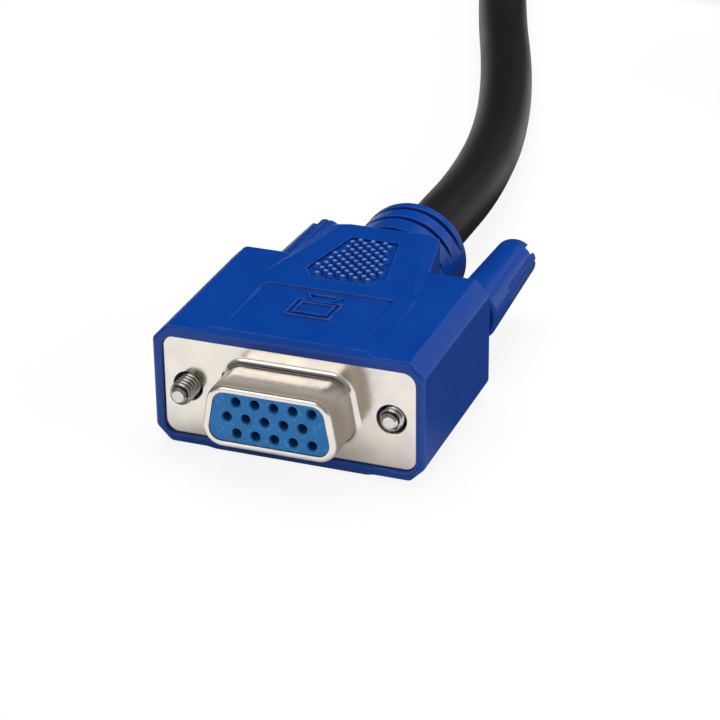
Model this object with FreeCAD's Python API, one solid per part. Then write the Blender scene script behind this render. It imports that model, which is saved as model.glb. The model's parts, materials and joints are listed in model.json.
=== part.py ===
"""Video cable of a keyboard, video and mouse switch: a moulded socket end on a coiled lead with a plug end.

The frame has +Z up and the cable leaving along +Y. The origin lies on the hood's rest face, half way
along the hood's body. Lengths are millimetres and angles are degrees.
"""
import FreeCAD, Part
import math
import os

V = FreeCAD.Vector

# Moulded hood, its corners, the contact grid's height above its middle and the spine on both flat sides
HOOD_WALL = 1.1
HOOD_HEIGHT = 15.0
HOOD_DEPTH = 24.3
HOOD_CHAMFER = 1.8
HOOD_SOFTENING = 0.8
RIM_BEVEL = 0.3
SHOULDER_ROUND = 0.8
AXIS_LIFT = 0.11
SPINE_RISE = 0.42
SPINE_FRONT_HALF = 9.7
SPINE_BACK_HALF = 5.2
SPINE_STRAIGHT = 15.0
SPINE_LENGTH = 33.3
SPINE_FRONT_FLARE = 1.0
SPINE_BACK_FLARE = 1.8
SPINE_CORNER = 1.0
SPINE_BEND = 8.0

# Sunk label panel and grip patch in the top of the spine
PANEL_HALF = 8.2
PANEL_START = 2.5
PANEL_END = 14.1
PANEL_DEPTH = 0.3
PANEL_CORNER = 1.2
GRIP_FRONT_HALF = 5.1
GRIP_BACK_HALF = 3.1
GRIP_START = 17.2
GRIP_END = 29.6
GRIP_CUT_WIDTH = 1.5
GRIP_CUT_LENGTH = 2.2
GRIP_DEPTH = 0.25
STUD_PITCH = 1.6
STUD_ROW = 0.75
STUD_GAP = 0.1
STUD_TOP = 0.16
STUD_RISE = 0.3

# Strain relief collar and its partial grooves
RELIEF_RADIUS = 7.1
RELIEF_END = 44.1
RELIEF_ROUND = 0.6
GROOVE_STARTS = (34.7, 38.4, 41.5)
GROOVE_WIDTH = 0.9
GROOVE_DEPTH = 0.95
GROOVE_REACH = 76.0

# High density connector: flange, shroud and contact grid
FLANGE_SIDE = 3.0
FLANGE_HEIGHT = 12.5
FLANGE_CORNER = 1.5
FLANGE_RECESS = 0.5
FLANGE_DROP = 0.25
FLANGE_HOLE_RADIUS = 1.8
SHEET = 0.5
SCREW_SPACING = 24.99
SHROUD_WIDTH = 16.33
SHROUD_HEIGHT = 7.9
SHROUD_CORNER = 2.4
SHROUD_SLANT = 10.0
SHROUD_LENGTH = 6.15
SHROUD_ROOT = 0.8
SHROUD_WALL = 0.86
SHROUD_LIP = 0.62
PLUG_LIP = 0.2
REAR_CUP_LENGTH = 5.5
PLUG_SHROUD_GAP = 0.3
CONTACT_PITCH = 2.29
ROW_PITCH = 1.98
CONTACTS_PER_ROW = 5
SOCKET_RADIUS = 0.62
SOCKET_BORE = 0.42
SOCKET_DEPTH = 5.0
SOCKET_SET_BACK = 2.0
ENTRY_RADIUS = 0.58
ENTRY_MOUTH = 0.75
ENTRY_LEAD = 0.2
FACE_SET_BACK = 0.2
TAIL_LENGTH = 3.0
TAIL_RADIUS = 0.45
PIN_RADIUS = 0.38
PIN_REACH = 4.8
WIRE_RADIUS = 0.35
WIRE_STRAIGHT = 1.2
LOOM_SCALE = 0.5
LOOM_WIDTH = 15.0
LOOM_HEIGHT = 7.4
LOOM_CORNER = 2.0
LOOM_END = 7.2

# Thumbscrews: a steel screw in a moulded knob
SCREW_REACH = 29.3
THREAD_RADIUS = 1.42
THREAD_LENGTH = 9.0
THREAD_CHAMFER = 0.7
SHANK_RADIUS = 1.6
SHANK_IN_KNOB = 11.0
KNOB_LENGTH = 18.5
KNOB_FRONT_RADIUS = 3.4
KNOB_REAR_RADIUS = 2.75
KNOB_BEVEL = 0.35
KNOB_ROUND = 0.35
SLOT_WIDTH = 1.25
SLOT_DEPTH = 1.4
FLUTE_RADIUS = 0.35
FLUTE_DEPTH = 0.2
FLUTE_START = 6.5
FLUTE_ANGLES = (2.0, 27.0, 182.0, 207.0)
LEFT_FLOAT = 2.6
RIGHT_FLOAT = 4.6
LEFT_TURN = 82.0
RIGHT_TURN = 0.0
SLOT_ANGLE = 40.0

# Cable, its coil, its tie and the run to the plug
CABLE_DIAMETER = 8.0
CABLE_GRIP = 9.0
COIL_MEAN_DIAMETERS = 10.0
COIL_COLUMNS = 2
COIL_LAYERS = 2
TIE_THICKNESS = 0.8
TIE_ANGLE = 40.0
TIE_WIDTH = 14.0
TAIL_ANGLE = -24.0
TAIL_RUN = 22.0
PLUG_FLOAT = 3.0

# Clearances: between pieces that seat in each other, and round a turning shank
FIT = 0.04
RUNNING_FIT = 0.05

# Places that follow from the sizes above
FLANGE_WIDTH = SCREW_SPACING + 2 * FLANGE_SIDE
HOOD_WIDTH = FLANGE_WIDTH + 2 * HOOD_WALL
TOP_Z = HOOD_HEIGHT + 2 * SPINE_RISE
AXIS_Z = TOP_Z / 2 + AXIS_LIFT
SCREW_Z = AXIS_Z - FLANGE_DROP
RIM_Y = -HOOD_DEPTH / 2
SHOULDER_Y = RIM_Y + HOOD_DEPTH
FLANGE_Y = RIM_Y + FLANGE_RECESS
POCKET_Y = FLANGE_Y + 2 * SHEET
CUP_END_Y = POCKET_Y + REAR_CUP_LENGTH
RELIEF_END_Y = RIM_Y + RELIEF_END
JACKET_END_Y = RELIEF_END_Y - CABLE_GRIP
CABLE_RADIUS = CABLE_DIAMETER / 2
FLOOR_LINE = CABLE_RADIUS
COIL_LINE = CABLE_RADIUS + TIE_THICKNESS

# Cable route from the strain relief to the coil, chosen by hand
LEAD_ROUTE = (
    V(0, JACKET_END_Y, AXIS_Z),
    V(0, 38.8, AXIS_Z),
    V(-1.6, 61.8, 5.4),
    V(-5.4, 85.8, FLOOR_LINE),
    V(-12.0, 109.8, FLOOR_LINE),
    V(-20.5, 133.8, FLOOR_LINE),
    V(-28.2, 158.6, FLOOR_LINE),
    V(-33.6, 184.0, FLOOR_LINE),
    V(-35.9, 206.6, COIL_LINE),
)


# Outlines and solids that several pieces share

def rounded_wire(corners, to_space):
    """Closed wire through (u, v, radius) corners, with each corner rounded by a tangent arc."""
    points = [V(u, v, 0) for u, v, _ in corners]
    ends = []
    for i, (_, _, radius) in enumerate(corners):
        before = (points[i - 1] - points[i]).normalize()
        after = (points[(i + 1) % len(points)] - points[i]).normalize()
        half = before.getAngle(after) / 2
        trim = radius / math.tan(half)
        inward = (before + after).normalize()
        middle = points[i] + inward * (radius / math.sin(half) - radius)
        ends.append((points[i] + before * trim, middle, points[i] + after * trim))
    edges = []
    for i, (start, middle, end) in enumerate(ends):
        last = ends[i - 1][2]
        edges.append(Part.LineSegment(to_space(last), to_space(start)).toShape())
        if corners[i][2] > 0:
            edges.append(Part.Arc(to_space(start), to_space(middle), to_space(end)).toShape())
    return Part.Wire(edges)


def across(y):
    """Map from outline coordinates to the upright plane at y, centred on the cable axis."""
    return lambda point: V(point.x, y, AXIS_Z + point.y)


def plan(z):
    """Map from outline coordinates to the level plane at z."""
    return lambda point: V(point.x, point.y, z)


def rectangle(width, height, corner, drop=0.0):
    """Corners of a rectangle with equal corner radii, whose middle lies below the axis by drop."""
    w = width / 2
    low = -height / 2 - drop
    high = height / 2 - drop
    return ((-w, low, corner), (w, low, corner), (w, high, corner), (-w, high, corner))


def chamfered_rectangle(width, height, chamfer, softening, drop):
    """Corners of a rectangle with cut and softened corners, whose middle lies below the axis by drop."""
    w = width / 2
    low = -height / 2 - drop
    high = height / 2 - drop
    right = ((w - chamfer, low), (w, low + chamfer), (w, high - chamfer), (w - chamfer, high))
    left = tuple((-x, y) for x, y in reversed(right))
    return tuple((x, y, softening) for x, y in right + left)


def shroud_corners(grow):
    """Corners of the connector's D outline, wide side down, offset outwards by grow."""
    slant = math.radians(SHROUD_SLANT)
    corner = SHROUD_CORNER + grow
    height = SHROUD_HEIGHT / 2 + grow
    wide = SHROUD_WIDTH / 2 + grow + corner * (math.tan(slant) + 1 / math.cos(slant) - 1)
    narrow = wide - 2 * height * math.tan(slant)
    low = ((-wide, -height, corner), (wide, -height, corner))
    return low + ((narrow, height, corner), (-narrow, height, corner))


def slab(corners, y_start, y_end):
    """Prism of an upright outline between two places along the cable axis."""
    return Part.Face(rounded_wire(corners, across(y_start))).extrude(V(0, y_end - y_start, 0))


def rod(radius, x, z, y_start, y_end):
    """Cylinder along Y."""
    return Part.makeCylinder(radius, y_end - y_start, V(x, y_start, z), V(0, 1, 0))


def cone(radius_start, radius_end, x, z, y_start, y_end):
    """Truncated cone along Y."""
    return Part.makeCone(radius_start, radius_end, y_end - y_start, V(x, y_start, z), V(0, 1, 0))


def edges_on(shape, y):
    """Edges that lie in the upright plane at y."""
    flat = []
    for edge in shape.Edges:
        box = edge.BoundBox
        if abs(box.YMin - y) < 1e-6 and abs(box.YMax - y) < 1e-6:
            flat.append(edge)
    return flat


def contact_places():
    """The X and height of each contact: three rows, the middle one shifted by half a pitch."""
    places = []
    for row, shift in ((1, 0.25), (0, -0.25), (-1, 0.25)):
        for column in range(CONTACTS_PER_ROW):
            x = (column - (CONTACTS_PER_ROW - 1) / 2 + shift) * CONTACT_PITCH
            places.append((x, AXIS_Z + row * ROW_PITCH))
    return places


# Hood with its strain relief, one moulding

def hood_block():
    """Rounded block between the front rim and the shoulders."""
    outline = chamfered_rectangle(HOOD_WIDTH, HOOD_HEIGHT, HOOD_CHAMFER, HOOD_SOFTENING, AXIS_LIFT)
    block = slab(outline, RIM_Y, SHOULDER_Y)
    block = block.makeChamfer(RIM_BEVEL, edges_on(block, RIM_Y))
    return block.makeFillet(SHOULDER_ROUND, edges_on(block, SHOULDER_Y))


def spine_wire(z, flare):
    """Level outline of the spine: straight behind the rim, then narrowing to the strain relief."""
    start = RIM_Y + RIM_BEVEL + SPINE_RISE * (1 - flare)
    front = SPINE_FRONT_HALF + SPINE_FRONT_FLARE * flare
    back = SPINE_BACK_HALF + SPINE_BACK_FLARE * flare
    bend = RIM_Y + SPINE_STRAIGHT
    end = RIM_Y + SPINE_LENGTH + SPINE_RISE * flare
    corners = (
        (-front, start, SPINE_RISE),
        (front, start, SPINE_RISE),
        (front, bend, SPINE_BEND),
        (back, end, SPINE_CORNER),
        (-back, end, SPINE_CORNER),
        (-front, bend, SPINE_BEND),
    )
    return rounded_wire(corners, plan(z))


def spine():
    """Spine and neck: one slab whose two flat sides stand proud of the block."""
    wires = [
        spine_wire(0, 0),
        spine_wire(SPINE_RISE, 1),
        spine_wire(TOP_Z - SPINE_RISE, 1),
        spine_wire(TOP_Z, 0),
    ]
    return Part.makeLoft(wires, True, True)


def relief():
    """Strain relief collar with crescent grooves above and below, which run out at its sides."""
    collar = rod(RELIEF_RADIUS, 0, AXIS_Z, SHOULDER_Y, RELIEF_END_Y)
    collar = collar.makeFillet(RELIEF_ROUND, edges_on(collar, RELIEF_END_Y))
    floor = RELIEF_RADIUS - GROOVE_DEPTH
    run_out = RELIEF_RADIUS * math.cos(math.radians(GROOVE_REACH))
    shift = (RELIEF_RADIUS ** 2 - floor ** 2) / (2 * (floor - run_out))
    for place in GROOVE_STARTS:
        start = RIM_Y + place
        end = start + GROOVE_WIDTH
        ring = rod(RELIEF_RADIUS + GROOVE_DEPTH, 0, AXIS_Z, start, end)
        core = rod(floor + shift, 0, AXIS_Z - shift, start, end)
        core = core.common(rod(floor + shift, 0, AXIS_Z + shift, start, end))
        collar = collar.cut(ring.cut(core))
    return collar


def label_panel():
    """Shallow thumb panel: deepest at its back edge, running out towards the rim."""
    start = RIM_Y + PANEL_START
    end = RIM_Y + PANEL_END
    corners = (
        (-PANEL_HALF, start, 0),
        (PANEL_HALF, start, 0),
        (PANEL_HALF, end, PANEL_CORNER),
        (-PANEL_HALF, end, PANEL_CORNER),
    )
    tool = Part.Face(rounded_wire(corners, plan(TOP_Z - PANEL_DEPTH))).extrude(V(0, 0, 2 * PANEL_DEPTH))
    ramp = Part.makePolygon([
        V(-HOOD_WIDTH / 2, start, TOP_Z),
        V(-HOOD_WIDTH / 2, end, TOP_Z - PANEL_DEPTH),
        V(-HOOD_WIDTH / 2, end, TOP_Z + PANEL_DEPTH),
        V(-HOOD_WIDTH / 2, start, TOP_Z + PANEL_DEPTH),
        V(-HOOD_WIDTH / 2, start, TOP_Z),
    ])
    return tool.common(Part.Face(ramp).extrude(V(HOOD_WIDTH, 0, 0)))


def grip_half_width(y):
    """Half width of the grip patch at a distance behind the rim."""
    if y < GRIP_START + GRIP_CUT_LENGTH:
        share = (y - GRIP_START) / GRIP_CUT_LENGTH
        return GRIP_FRONT_HALF - GRIP_CUT_WIDTH * (1 - share)
    share = (y - GRIP_START - GRIP_CUT_LENGTH) / (GRIP_END - GRIP_START - GRIP_CUT_LENGTH)
    return GRIP_FRONT_HALF + (GRIP_BACK_HALF - GRIP_FRONT_HALF) * share


def grip_pocket():
    """Sunk six-sided patch that narrows with the spine."""
    rows = (GRIP_START, GRIP_START + GRIP_CUT_LENGTH, GRIP_END)
    right = [(grip_half_width(y), RIM_Y + y, 0) for y in rows]
    left = [(-x, y, radius) for x, y, radius in reversed(right)]
    return Part.Face(rounded_wire(right + left, plan(TOP_Z - GRIP_DEPTH))).extrude(V(0, 0, 2 * GRIP_DEPTH))


def grip_studs():
    """Diamond-shaped blunt pyramids on the floor of the grip patch."""
    across_half = STUD_PITCH / 2 - STUD_GAP / 2
    along_half = STUD_ROW - STUD_GAP / 2
    studs = []
    row_count = int((GRIP_END - GRIP_START - 2 * along_half) / STUD_ROW) + 1
    first_row = (GRIP_START + GRIP_END - (row_count - 1) * STUD_ROW) / 2
    for row in range(row_count):
        y = first_row + row * STUD_ROW
        room = min(grip_half_width(y - along_half / 2), grip_half_width(y + along_half / 2)) - across_half
        shift = 0.5 * (row % 2)
        reach = int(room / STUD_PITCH + 1 - shift)
        for column in range(-reach - 1, reach + 1):
            x = (column + shift) * STUD_PITCH
            if abs(x) <= room:
                studs.append(stud(x, RIM_Y + y, across_half, along_half))
    return studs


def stud(x, y, across_half, along_half):
    """One blunt pyramid, rooted below the patch floor and proud of the spine."""
    wires = []
    levels = ((-1.5 * GRIP_DEPTH, 1.0), (-GRIP_DEPTH, 1.0), (STUD_RISE, STUD_TOP))
    for rise, share in levels:
        z = TOP_Z + rise
        wires.append(Part.makePolygon([
            V(x - across_half * share, y, z),
            V(x, y - along_half * share, z),
            V(x + across_half * share, y, z),
            V(x, y + along_half * share, z),
            V(x - across_half * share, y, z),
        ]))
    return Part.makeLoft(wires, True, True)


def loom_cavity():
    """Tapered hollow for the wires between the connector's cup and the cable jacket."""
    start = rounded_wire(rectangle(LOOM_WIDTH, LOOM_HEIGHT, LOOM_CORNER), across(CUP_END_Y))
    end = rounded_wire(rectangle(LOOM_END, LOOM_END, LOOM_CORNER), across(JACKET_END_Y))
    return Part.makeLoft([start, end], True, True)


def hood(shroud_grow):
    """The whole moulding, hollowed for a connector whose cup is grown by shroud_grow."""
    body = hood_block().fuse([spine(), relief()]).removeSplitter()
    body = body.cut(label_panel())
    body = body.cut(grip_pocket())
    body = body.fuse(grip_studs())
    pocket = rectangle(FLANGE_WIDTH + 2 * FIT, FLANGE_HEIGHT + 2 * FIT, FLANGE_CORNER + FIT, FLANGE_DROP)
    hollows = [
        slab(pocket, RIM_Y - RIM_BEVEL, POCKET_Y),
        slab(shroud_corners(shroud_grow + SHEET + FIT), POCKET_Y, CUP_END_Y),
        loom_cavity(),
        rod(CABLE_RADIUS + FIT, 0, AXIS_Z, JACKET_END_Y, RELIEF_END_Y + RELIEF_ROUND),
    ]
    for side in (-1, 1):
        x = side * SCREW_SPACING / 2
        hollows.append(rod(SHANK_RADIUS + RUNNING_FIT, x, SCREW_Z, POCKET_Y, SHOULDER_Y + SHOULDER_ROUND))
    return body.cut(hollows)


# Connector pieces

def flange(y_start):
    """Flange sheet with its two screw holes."""
    outline = rectangle(FLANGE_WIDTH, FLANGE_HEIGHT, FLANGE_CORNER, FLANGE_DROP)
    sheet = slab(outline, y_start, y_start + SHEET)
    for side in (-1, 1):
        x = side * SCREW_SPACING / 2
        sheet = sheet.cut(rod(FLANGE_HOLE_RADIUS, x, SCREW_Z, y_start, y_start + SHEET))
    return sheet


def front_shell(grow, wall, lip):
    """Drawn front shell: flange, filleted root and shroud, whose wall is rolled to a rounded lip."""
    tip = FLANGE_Y - SHROUD_LENGTH
    outside = slab(shroud_corners(grow), tip, FLANGE_Y)
    shell = flange(FLANGE_Y).fuse(outside).removeSplitter()
    root = [edge for edge in edges_on(shell, FLANGE_Y) if is_shroud_root(edge)]
    shell = shell.makeFillet(SHROUD_ROOT, root)
    shell = shell.makeFillet(lip, edges_on(shell, tip))
    return shell.cut(slab(shroud_corners(grow - wall), tip, FLANGE_Y + SHEET))


def is_shroud_root(edge):
    """Whether an edge on the flange face belongs to the shroud and not to the rim or a screw hole."""
    box = edge.BoundBox
    width = max(abs(box.XMin), abs(box.XMax))
    height = max(abs(box.ZMin - AXIS_Z), abs(box.ZMax - AXIS_Z))
    return width < SCREW_SPACING / 2 - FLANGE_HOLE_RADIUS and height < FLANGE_HEIGHT / 2 - SHEET


def rear_shell(grow):
    """Rear shell: flange and the cup that holds the insulator."""
    shell = flange(FLANGE_Y + SHEET).fuse(slab(shroud_corners(grow + SHEET), POCKET_Y, CUP_END_Y))
    return shell.cut(slab(shroud_corners(grow), FLANGE_Y + SHEET, CUP_END_Y)).removeSplitter()


def insulator_block(grow, wall, y_start):
    """Insulator blank: a nose in the shroud and a wider root in the cup."""
    step = FLANGE_Y + SHEET + FIT
    nose = slab(shroud_corners(grow - wall - FIT), y_start, step)
    root = slab(shroud_corners(grow - FIT), step, CUP_END_Y)
    return nose.fuse(root).removeSplitter()


def socket_insulator():
    """Insulator with a countersunk entry and a contact bore at each place."""
    face = FLANGE_Y - SHROUD_LENGTH + FACE_SET_BACK
    tools = []
    for x, z in contact_places():
        tools.append(cone(ENTRY_MOUTH, ENTRY_RADIUS, x, z, face, face + ENTRY_LEAD))
        tools.append(rod(ENTRY_RADIUS, x, z, face + ENTRY_LEAD, face + SOCKET_SET_BACK))
        tools.append(rod(SOCKET_RADIUS + FIT, x, z, face + SOCKET_SET_BACK, CUP_END_Y))
    return insulator_block(0, SHROUD_WALL, face).cut(tools)


def socket_contact(x, z):
    """Socket contact: a bored barrel with a solder tail."""
    start = FLANGE_Y - SHROUD_LENGTH + FACE_SET_BACK + SOCKET_SET_BACK
    barrel = rod(SOCKET_RADIUS, x, z, start, CUP_END_Y)
    tail = rod(TAIL_RADIUS, x, z, CUP_END_Y, CUP_END_Y + TAIL_LENGTH)
    return barrel.fuse(tail).cut(rod(SOCKET_BORE, x, z, start, start + SOCKET_DEPTH)).removeSplitter()


def plug_insulator(grow):
    """Insulator of the plug end, bored for its pins."""
    tools = [rod(PIN_RADIUS + FIT, x, z, FLANGE_Y, CUP_END_Y) for x, z in contact_places()]
    return insulator_block(grow, SHEET, FLANGE_Y).cut(tools)


def plug_pins():
    """Contact pins of the plug end, a group of like pieces."""
    pins = []
    for x, z in contact_places():
        tip = FLANGE_Y - PIN_REACH
        point = cone(PIN_RADIUS / 2, PIN_RADIUS, x, z, tip, tip + PIN_RADIUS)
        stem = rod(PIN_RADIUS, x, z, tip + PIN_RADIUS, CUP_END_Y + TAIL_LENGTH)
        pins.append(point.fuse(stem).removeSplitter())
    return Part.makeCompound(pins)


def conductors():
    """Wires that fan in from the contact tails to the end of the cable jacket."""
    wires = []
    for x, z in contact_places():
        start = V(x, CUP_END_Y + TAIL_LENGTH, z)
        fan = V(x, CUP_END_Y + TAIL_LENGTH + WIRE_STRAIGHT, z)
        gather = V(x * LOOM_SCALE, JACKET_END_Y - WIRE_STRAIGHT, AXIS_Z + (z - AXIS_Z) * LOOM_SCALE)
        end = V(gather.x, JACKET_END_Y, gather.z)
        path = Part.makePolygon([start, fan, gather, end])
        ring = Part.Wire(Part.makeCircle(WIRE_RADIUS, start, V(0, 1, 0)))
        wires.append(path.makePipeShell([ring], True, False, 1))
    return Part.makeCompound(wires)


# Thumbscrews

def screw(x, knob_y):
    """Jackscrew: chamfered threaded end, plain shank and the root that the knob is moulded on."""
    tip = knob_y - SCREW_REACH
    thread = rod(THREAD_RADIUS, x, SCREW_Z, tip + THREAD_CHAMFER, tip + THREAD_LENGTH)
    point = cone(THREAD_RADIUS - THREAD_CHAMFER, THREAD_RADIUS, x, SCREW_Z, tip, tip + THREAD_CHAMFER)
    shank = rod(SHANK_RADIUS, x, SCREW_Z, tip + THREAD_LENGTH, knob_y + SHANK_IN_KNOB)
    return thread.fuse([point, shank]).removeSplitter()


def knob_radius(y):
    """Radius of the tapered knob at a distance from its front."""
    return KNOB_FRONT_RADIUS + (KNOB_REAR_RADIUS - KNOB_FRONT_RADIUS) * y / KNOB_LENGTH


def knob(x, knob_y, turn):
    """Tapered knob with rounded flutes and a driver slot, turned about its axis."""
    rear = knob_y + KNOB_LENGTH
    body = cone(KNOB_FRONT_RADIUS, KNOB_REAR_RADIUS, x, SCREW_Z, knob_y, rear)
    body = body.makeChamfer(KNOB_BEVEL, edges_on(body, knob_y))
    body = body.makeFillet(KNOB_ROUND, edges_on(body, rear))
    tools = [flute(x, knob_y, angle) for angle in FLUTE_ANGLES]
    slot = Part.makeBox(2 * KNOB_FRONT_RADIUS, SLOT_DEPTH, SLOT_WIDTH)
    slot.translate(V(x - KNOB_FRONT_RADIUS, rear - SLOT_DEPTH, SCREW_Z - SLOT_WIDTH / 2))
    slot.rotate(V(x, 0, SCREW_Z), V(0, -1, 0), SLOT_ANGLE)
    tools.append(slot)
    tools.append(rod(SHANK_RADIUS + FIT, x, SCREW_Z, knob_y, knob_y + SHANK_IN_KNOB))
    body = body.cut(tools)
    body.rotate(V(x, 0, SCREW_Z), V(0, -1, 0), turn)
    return body


def flute(x, knob_y, angle):
    """Cutter for one round-ended flute that runs out at the knob's rear."""
    lift = FLUTE_RADIUS - FLUTE_DEPTH
    start = V(x + knob_radius(FLUTE_START) + lift, knob_y + FLUTE_START, SCREW_Z)
    end = V(x + knob_radius(KNOB_LENGTH) + lift, knob_y + KNOB_LENGTH, SCREW_Z)
    run = end - start
    cutter = Part.makeCylinder(FLUTE_RADIUS, run.Length + FLUTE_RADIUS, start, run)
    cutter = cutter.fuse(Part.makeSphere(FLUTE_RADIUS, start))
    cutter.rotate(V(x, 0, SCREW_Z), V(0, -1, 0), angle)
    return cutter


# Cable

def cable_tube(name, points):
    """Round tube along straight runs joined by the largest tangent arcs; prints its bend radii."""
    edges = []
    radii = []
    last = points[0]
    for before, corner, after in zip(points, points[1:], points[2:]):
        back = before - corner
        ahead = after - corner
        turn = math.pi - back.getAngle(ahead)
        trim = 0.45 * min(back.Length, ahead.Length)
        radius = trim / math.tan(turn / 2)
        start = corner + back.normalize() * trim
        end = corner + ahead.normalize() * trim
        inward = (back + ahead).normalize()
        middle = corner + inward * radius * (1 / math.cos(turn / 2) - 1)
        edges.append(Part.LineSegment(last, start).toShape())
        edges.append(Part.Arc(start, middle, end).toShape())
        radii.append(round(radius, 1))
        last = end
    edges.append(Part.LineSegment(last, points[-1]).toShape())
    path = Part.Wire(edges)
    ring = Part.Wire(Part.makeCircle(CABLE_RADIUS, points[0], points[1] - points[0]))
    tube = path.makePipeShell([ring], True, True)
    section = math.pi * CABLE_RADIUS ** 2
    print(name, "length", round(path.Length, 1), "radii", radii)
    print(name, "volume over section times length", round(tube.Volume / section / path.Length, 4))
    return tube


class Coil:
    """Neat coil that takes up the spare length, tangent to the lead and to the tail."""

    def __init__(self):
        entry = LEAD_ROUTE[-1]
        run = entry - LEAD_ROUTE[-2]
        self.mean = COIL_MEAN_DIAMETERS * CABLE_RADIUS
        self.outer = self.mean + (COIL_COLUMNS - 1) * CABLE_RADIUS
        inward = V(run.y, -run.x, 0).normalize()
        self.centre = V(entry.x, entry.y, 0) + inward * self.outer
        print("coil centre", self.centre, "outer turn", round(self.outer, 2))

    def section(self, grow):
        """Upright outline of the bundle of turns, at +X of the coil's centre."""
        width = COIL_COLUMNS * CABLE_DIAMETER + 2 * grow
        height = COIL_LAYERS * CABLE_DIAMETER + 2 * grow
        middle = TIE_THICKNESS + COIL_LAYERS * CABLE_RADIUS
        offset = self.centre + V(self.mean, 0, middle)
        corners = rectangle(width, height, CABLE_RADIUS + grow)
        return rounded_wire(corners, lambda point: offset + V(point.x, 0, point.y))

    def bundle(self):
        """The turns as one closed ring."""
        return Part.Face(self.section(0)).revolve(self.centre, V(0, 0, 1), 360)

    def tie(self):
        """Strap round the bundle."""
        band = Part.Face(self.section(TIE_THICKNESS)).cut(Part.Face(self.section(FIT)))
        strap = band.revolve(self.centre, V(0, 0, 1), math.degrees(TIE_WIDTH / self.mean))
        strap.rotate(self.centre, V(0, 0, 1), TIE_ANGLE)
        return strap

    def tail_points(self):
        """Route from the coil's top turn down to the plug, which faces as the socket does."""
        angle = math.radians(TAIL_ANGLE)
        top = COIL_LINE + (COIL_LAYERS - 1) * CABLE_DIAMETER
        leave = self.centre + V(self.outer * math.cos(angle), self.outer * math.sin(angle), top)
        turn = leave + V(TAIL_RUN * math.sin(angle), -TAIL_RUN * math.cos(angle), AXIS_Z - top)
        return [leave, turn, turn - V(0, TAIL_RUN, 0)]


# Whole part

def socket_end():
    """Nodes of the socket end, which stands at the frame's origin."""
    nodes = {
        "hood": hood(0),
        "front_shell": front_shell(0, SHROUD_WALL, SHROUD_LIP),
        "rear_shell": rear_shell(0),
        "insulator": socket_insulator(),
        "conductors": conductors(),
    }
    for number, (x, z) in enumerate(contact_places(), 1):
        nodes[f"contact_{number:02d}"] = socket_contact(x, z)
    screws = (("left", -1, LEFT_FLOAT, LEFT_TURN), ("right", 1, RIGHT_FLOAT, RIGHT_TURN))
    for side, sign, play, turn in screws:
        x = sign * SCREW_SPACING / 2
        nodes[f"screw_{side}"] = screw(x, SHOULDER_Y + play)
        nodes[f"knob_{side}"] = knob(x, SHOULDER_Y + play, turn)
    return nodes


def plug_end(tail_end):
    """Nodes of the plug end, laid beside the coil with its cable end at tail_end."""
    grow = SHEET + PLUG_SHROUD_GAP
    nodes = {
        "plug_hood": hood(grow),
        "plug_front_shell": front_shell(grow, SHEET, PLUG_LIP),
        "plug_rear_shell": rear_shell(grow),
        "plug_insulator": plug_insulator(grow),
        "plug_pins": plug_pins(),
        "plug_conductors": conductors(),
    }
    for side, sign in (("left", -1), ("right", 1)):
        x = sign * SCREW_SPACING / 2
        nodes[f"plug_screw_{side}"] = screw(x, SHOULDER_Y + PLUG_FLOAT)
        nodes[f"plug_knob_{side}"] = knob(x, SHOULDER_Y + PLUG_FLOAT, LEFT_TURN)
    place = tail_end - V(0, JACKET_END_Y, AXIS_Z)
    print("plug end at", place)
    for shape in nodes.values():
        shape.translate(place)
    return nodes


def cable_nodes():
    """Nodes of the cable: the lead, the coil, its tie and the tail, with the place where the tail ends."""
    coil = Coil()
    tail = coil.tail_points()
    nodes = {
        "cable_run": cable_tube("cable_run", list(LEAD_ROUTE)),
        "cable_coil": coil.bundle(),
        "coil_tie": coil.tie(),
        "cable_tail": cable_tube("cable_tail", tail),
    }
    return nodes, tail[-1]


def main():
    """Build every node and write it to its own file."""
    os.makedirs("parts", exist_ok=True)
    cable, tail_end = cable_nodes()
    for name, shape in {**socket_end(), **cable, **plug_end(tail_end)}.items():
        shape.exportStep(f"parts/{name}.step")
        box = shape.BoundBox
        low = [round(value, 2) for value in (box.XMin, box.YMin, box.ZMin)]
        high = [round(value, 2) for value in (box.XMax, box.YMax, box.ZMax)]
        print(name, "solids", len(shape.Solids), "volume", round(shape.Volume, 2), "from", low, "to", high)


main()
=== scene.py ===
"""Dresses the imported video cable: camera, studio, cord, finishes and fine detail.

The frame is in metres. Sizes that repeat the part's source, or that belong to a detail piece, are in
millimetres and are scaled where a mesh or curve is made.
"""
import json
import logging
import math
from dataclasses import dataclass, field, replace
from enum import Enum
from typing import Callable, Iterable, Sequence

import bmesh
import bpy
from mathutils import Matrix, Vector


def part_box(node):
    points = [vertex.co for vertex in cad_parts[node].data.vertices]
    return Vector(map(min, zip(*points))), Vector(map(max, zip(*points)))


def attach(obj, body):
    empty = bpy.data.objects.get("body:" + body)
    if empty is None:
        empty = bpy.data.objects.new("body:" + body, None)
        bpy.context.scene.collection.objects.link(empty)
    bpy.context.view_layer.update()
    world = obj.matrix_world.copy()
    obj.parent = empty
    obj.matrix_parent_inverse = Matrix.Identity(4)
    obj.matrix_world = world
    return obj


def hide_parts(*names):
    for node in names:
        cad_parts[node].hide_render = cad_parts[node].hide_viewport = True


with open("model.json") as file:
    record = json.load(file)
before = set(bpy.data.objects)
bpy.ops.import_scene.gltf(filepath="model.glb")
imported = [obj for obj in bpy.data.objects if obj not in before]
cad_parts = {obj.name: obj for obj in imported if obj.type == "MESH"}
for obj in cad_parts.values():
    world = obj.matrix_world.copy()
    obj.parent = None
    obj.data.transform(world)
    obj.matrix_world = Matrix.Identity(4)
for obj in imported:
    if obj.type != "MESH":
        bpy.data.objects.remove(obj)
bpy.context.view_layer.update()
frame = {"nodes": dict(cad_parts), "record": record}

MM = 0.001
WELD = 1e-4 * MM
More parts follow.
